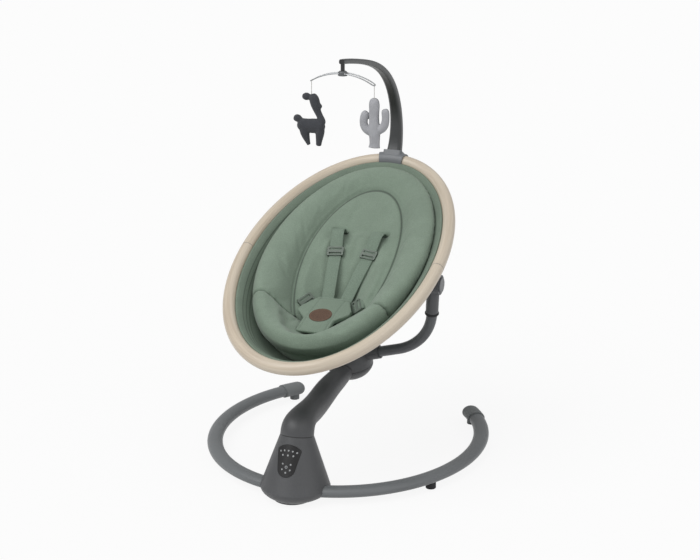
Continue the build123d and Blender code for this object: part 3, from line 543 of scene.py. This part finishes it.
def refine(piece, levels=1):
    finer = piece.modifiers.new("finer", "SUBSURF")
    finer.levels = levels
    finer.render_levels = levels
    settle(piece)


def sink(piece, depth):
    """Each point goes in along its normal by depth(x, t, n, normal's share along the seat's own)."""
    verts = read_points(piece.data)
    normals = read_points(piece.data, True)
    x, t, n = seat_numbers(verts)
    facing = normals @ np.array(seat_n)
    write_points(piece.data, verts - normals * depth(x, t, n, facing)[:, None])


def press(piece, band, reach):
    """Filling pressed flat under a band, on both sides of the seat, and rising again beside it."""
    (x0, t0, n0), (x1, t1, n1) = band
    verts = read_points(piece.data)
    x, t, n = seat_numbers(verts)
    length = np.hypot(x1 - x0, t1 - t0)
    along = ((abs(x) - x0) * (x1 - x0) + (t - t0) * (t1 - t0)) / length ** 2
    held = np.clip(along, 0, 1)
    beside = np.hypot(abs(x) - x0 - held * (x1 - x0), t - t0 - held * (t1 - t0))
    top = n0 + held * (n1 - n0) - band_room + np.maximum(beside - reach, 0) * 0.9
    share = np.clip(along * length / 0.005 + 0.5, 0, 1) * np.clip(2 - beside / reach, 0, 1)
    write_points(piece.data, verts - (np.maximum(n - top, 0) * share)[:, None] * np.array(seat_n))


def cushion_paint(w):
    x, t, n = seat_axes(w)
    shade, bump = melange(w, sage, sage_dark, w.place())
    reach = ((x / seam_half_x) ** 2.0 + ((t - seam_t) / seam_half_t) ** 2.0) ** 0.5
    # Painted shade: the crease of the oval seam and the two strap slots are darkened, standing in for the
    # shade that falls in them.
    dark_seam_and_crease_shade = w.fade(abs(reach - 1.0) * seam_half_x, 0.0005, 0.0024)
    for slot_x, slot_t in slots:
        cut = w.maths("MAXIMUM", abs(x - slot_x) - 0.013, abs(t - slot_t) * 1.0)
        dark_seam_and_crease_shade = w.maths("MAXIMUM", dark_seam_and_crease_shade, w.fade(cut, 0.0012, 0.0045))
    dark_seam_and_crease_shade = dark_seam_and_crease_shade * w.fade(t * -1.0, -split_t, 0.002 - split_t)
    return {"Base Color": w.tint(dark_seam_and_crease_shade * 0.7, shade, srgb(54, 64, 55)), "Roughness": 0.92,
            "Sheen Weight": 0.15, "Normal": bump}


jersey = surface("flecked_sage_jersey", cushion_paint)
back = soft_copy("back_pad", ["back_cushion"], jersey_grid, jersey)
even_out(back, 6)
x, t, n = seat_numbers(read_points(back.data))
facing = read_points(back.data, True) @ np.array(seat_n)
near_seam = np.exp(-(seam_gap(x, t) / 0.006) ** 2)
near_slot = slot_shape(x, t, 0.012, 0.007)
sewn = np.clip(np.maximum(near_seam, near_slot), 0, 1) * (facing > 0.1)
inflate(back, jersey_press, jersey_swell, sewn + 1.0 * (facing <= 0.1))
refine(back)
sink(back, lambda x, t, n, up: np.clip(up + 0.3, 0, 1) * (
    0.0042 * np.exp(-(seam_gap(x, t) / 0.0026) ** 2) + 0.0025 * np.exp(-(seam_gap(x, t) / 0.010) ** 2)
    + 0.007 * slot_shape(x, t, 0.011, 0.0045)))
press(back, shoulder_line, 0.015)
press(back, waist_line, 0.016)
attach(back, "seat")

legs = soft_copy("leg_roll", ["leg_cushion"], jersey_grid, jersey)
even_out(legs, 6)
facing = read_points(legs.data, True) @ np.array(seat_n)
inflate(legs, jersey_press, jersey_swell, 1.0 * (facing <= 0.1))
refine(legs)
verts = read_points(legs.data)
x, t, n = seat_numbers(verts)
below = np.maximum(split_t - t, 0)
outside = np.clip((np.hypot(x / abs(x).max(), below / below.max()) - 0.7) / 0.3, 0, 1)
tucked = roll_tuck * np.clip((n.max() - 0.020 - n) / 0.035, 0, 1)
write_points(legs.data, verts + (below * outside * tucked)[:, None] * np.array(seat_t))
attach(legs, "seat")


# Harness: ribbed 25 mm webbing through the slots and round the waist, moulded ladder locks, a buckle, and a
# padded crotch cover with a bare oval leather badge.
webbing_width = 0.025
webbing_thick = 0.0018


def ribbon(name, points, across, material, steps=48):
    """A flat band of webbing along a smooth line, its width lying along across."""
    line = smooth_through([tuple(p) for p in points], steps)
    ways = np.gradient(line, axis=0)
    ways /= np.linalg.norm(ways, axis=1, keepdims=True)
    side = np.array(across, float)
    verts = []
    faces = []
    half = webbing_width / 2
    rim = webbing_thick / 2
    section = [(-half, -rim * 0.4), (-half + rim, -rim), (half - rim, -rim), (half, -rim * 0.4),
               (half, rim * 0.4), (half - rim, rim), (-half + rim, rim), (-half, rim * 0.4)]
    for point, way in zip(line, ways):
        flat = side - way * (side @ way)
        flat /= np.linalg.norm(flat)
        up = np.cross(flat, way)
        up = up if up @ np.array(seat_n) > 0 else -up
        verts += [point + flat * a + up * b for a, b in section]
    count = len(section)
    for r in range(steps - 1):
        for k in range(count):
            n = (k + 1) % count
            faces.append((r * count + k, r * count + n, (r + 1) * count + n, (r + 1) * count + k))
    faces.append(tuple(range(count))[::-1])
    faces.append(tuple((steps - 1) * count + k for k in range(count)))
    return new_piece(name, verts, faces, material, "seat")


def webbing_paint(w):
    place = w.place()
    x, t, n = seat_axes(w)
    rib = w.maths("SINE", (t + n * 0.3) * 4200.0) * w.maths("SINE", x * 2600.0)
    fleck = w.noise(place, 700.0, 2.0)
    shade = w.tint(w.fade(fleck, 0.3, 0.7) * 0.6, srgb(132, 150, 134), srgb(106, 122, 108))
    return {"Base Color": shade, "Roughness": 0.8, "Normal": w.relief(rib, 0.0003)}


webbing = surface("ribbed_webbing", webbing_paint)
for side in (-1, 1):
    top, foot = ((side * x, t, n) for x, t, n in shoulder_line)
    route = [seat_point(side * 0.0445, 0.1125, -0.034), seat_point(side * 0.044, 0.111, -0.024)]
    route += [seat_point(*(a + (b - a) * s for a, b in zip(top, foot))) + seat_n * 0.0008
              for s in (0.0, 0.25, 0.5, 0.75, 1.0)]
    across = Vector((1, 0, 0)) - seat_t * side * 0.15
    ribbon(f"shoulder_strap_{side}", route, across, webbing)
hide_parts("shoulder_straps")
for side in (-1, 1):
    outer, inner = ((side * x, t, n) for x, t, n in waist_line)
    route = [seat_point(side * 0.0645, -0.070, -0.058), seat_point(side * 0.0642, -0.070, -0.050)]
    route += [seat_point(*(a + (b - a) * s for a, b in zip(outer, inner))) for s in (0.1, 0.35, 0.65, 1.0)]
    across = seat_t - Vector((side * 0.53, 0, 0))
    waist = ribbon(f"waist_strap_{side}", route, across, webbing)
    if side < 0:
        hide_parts("waist_straps")
lock_plastic = coated("lock_plastic", srgb(96, 107, 97), 0.4)
dress(lock_plastic, "left_shoulder_adjuster", "right_shoulder_adjuster", "waist_adjusters", "harness_buckle",
      "buckle_button")


pad_stitch_x = 0.0255
pad_stitch_t = -0.066


def pad_paint(w):
    shade, bump = melange(w, srgb(126, 142, 127), srgb(102, 117, 103), w.place())
    x, t, n = seat_axes(w)
    sides = w.fade(abs(abs(x) - pad_stitch_x), 0.0003, 0.0009)
    edge = w.maths("MAXIMUM", sides, w.fade(abs(t - pad_stitch_t), 0.0003, 0.0009))
    stitch = w.fade(w.maths("SINE", t * 2200.0), -0.2, 0.3)
    return {"Base Color": w.tint(edge * stitch * 0.55, shade, srgb(72, 84, 73)), "Roughness": 0.9,
            "Normal": bump}


cover = soft_copy("crotch_cover", ["crotch_pad"], 0.0025, surface("sage_cover_cloth", pad_paint))
even_out(cover, 3)
facing = read_points(cover.data, True) @ np.array(seat_n)
inflate(cover, 2.0, 0.002, 1.0 * (facing <= 0.1), 10)
refine(cover)
sink(cover, lambda x, t, n, up: np.clip(up, 0, 1) * 0.0012 * (
    np.exp(-((abs(x) - pad_stitch_x) / 0.0014) ** 2) + np.exp(-((t - pad_stitch_t) / 0.0014) ** 2)))
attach(cover, "seat")


badge_half_x = 0.022
badge_half_t = 0.0225
badge_t = -0.131


def badge_paint(w):
    x, t, n = seat_axes(w)
    grain = w.noise(w.place(), 420.0, 4.0, 0.6)
    reach = ((x / badge_half_x) ** 2.0 + ((t - badge_t) / badge_half_t) ** 2.0) ** 0.5
    edge = w.fade(abs(reach - 0.87), 0.015, 0.05)
    shade = w.tint(w.fade(grain, 0.35, 0.65), srgb(96, 72, 57), srgb(78, 57, 45))
    return {"Base Color": w.tint(edge * 0.35, shade, srgb(122, 96, 78)), "Roughness": 0.62,
            "Normal": w.relief(grain, 0.0002)}


dress(surface("brown_leather", badge_paint), "leather_badge")


# Toy arch: a moulded channel that tapers to its tip, plugged into a lighter clip round the ring, with a
# dark inset along its inner face. A steel wire hanger turns on a domed hub under the tip.
def arch_paint(w):
    sockets = coat_paint(srgb(62, 64, 65), 0.40)(w)
    x, y, z = w.axes(w.place())
    inner = w.fade(w.axes(w.node("ShaderNodeNewGeometry", out=1))[1], -0.6, -0.3)
    channel = w.fade(abs(x), 0.0052, 0.0066) * w.fade(0.63 - z, -0.03, 0.02) * inner
    sockets["Base Color"] = w.tint(channel * 0.8, sockets["Base Color"], srgb(36, 36, 37))
    return sockets


dress(surface("arch_plastic", arch_paint), "toy_arch")
dress(coated("hub_plastic", srgb(96, 98, 100), 0.38), "hanger_hub")
dress(coated("clip_plastic", srgb(108, 111, 114), 0.42), "toy_clip")
dress(surface("polished_wire", lambda w: {"Base Color": srgb(170, 172, 174), "Metallic": 1.0,
                                          "Roughness": 0.25 + w.noise(w.place(), 300.0) * 0.1}), "hanger_wire")

# Strings: thin off-white twisted cord, knotted round the wire's two ends, each going a little way into the
# top of a toy, where it is sewn in.
hang_y = 0.264
string_top = 0.747512
string_x = 0.064003
string_length = 0.031
string_width = 0.0014
cord_white = surface("white_cord", lambda w: {
    "Base Color": srgb(214, 213, 208), "Roughness": 0.8,
    "Normal": w.relief(w.maths("SINE", w.axes(w.place())[2] * 9000.0), 0.0001)})
for toy, side in (("animal", -1), ("cactus", 1)):
    line = bpy.data.curves.new(f"{toy}_cord", "CURVE")
    line.dimensions = "3D"
    line.bevel_depth = string_width / 2
    line.bevel_resolution = 3
    line.use_fill_caps = True
    spline = line.splines.new("NURBS")
    spline.points.add(3)
    for point, drop in zip(spline.points, (0.0, 0.010, 0.021, string_length)):
        point.co = (side * string_x, hang_y, string_top - drop, 1)
    spline.order_u = 3
    spline.use_endpoint_u = True
    line.materials.append(cord_white)
    cord = bpy.data.objects.new(f"{toy}_cord", line)
    scene.collection.objects.link(cord)
    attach(cord, f"{toy}_toy")
    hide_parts(f"{toy}_string")


# Toys: a plain four-legged animal in charcoal felt and a cactus in grey jersey, each two cut shapes sewn
# round the edge and stuffed, with a dark edge seam.
def felt_paint(colour, dark, seam_colour, seam_share):
    def paint(w):
        x, y, z = w.axes(w.place())
        fuzz = w.noise(w.place(), 900.0, 3.0, 0.7)
        cloud = w.noise(w.place(), 70.0, 2.0)
        shade = w.tint(w.fade(fuzz, 0.35, 0.65) * 0.5, colour, dark)
        shade = w.tint(w.fade(cloud, 0.35, 0.65) * 0.3, shade, dark)
        dark_seam_and_crease_shade = w.fade(abs(y - hang_y), 0.0008, 0.0016) * seam_share
        return {"Base Color": w.tint(dark_seam_and_crease_shade, shade, seam_colour), "Roughness": 0.9, "Sheen Weight": 0.2,
                "Normal": w.relief(fuzz, 0.0004)}
    return paint


toys = (("animal", [f"animal_{part}" for part in ("body", "head", "ear", "tail", "hind_leg", "front_leg")],
         felt_paint(srgb(64, 66, 71), srgb(48, 50, 55), srgb(28, 29, 32), 0.8), "toy_charcoal"),
        ("cactus", ["cactus_trunk", "cactus_left_arm", "cactus_right_arm"],
         felt_paint(srgb(172, 173, 177), srgb(146, 147, 152), srgb(62, 63, 67), 1.0), "toy_grey"))
for toy, limbs, paint, slot in toys:
    stuffed = soft_copy(f"{toy}_doll", limbs, 0.0013, surface(f"{toy}_cloth", paint))
    even_out(stuffed, 4)
    inflate(stuffed, 1.5, 0.001, np.zeros(len(stuffed.data.vertices)), 8)
    verts = read_points(stuffed.data)
    normals = read_points(stuffed.data, True)
    groove = 0.0006 * np.exp(-((verts[:, 1] - hang_y) / 0.001) ** 2)
    write_points(stuffed.data, verts - normals * groove[:, None])
    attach(stuffed, f"{toy}_toy")
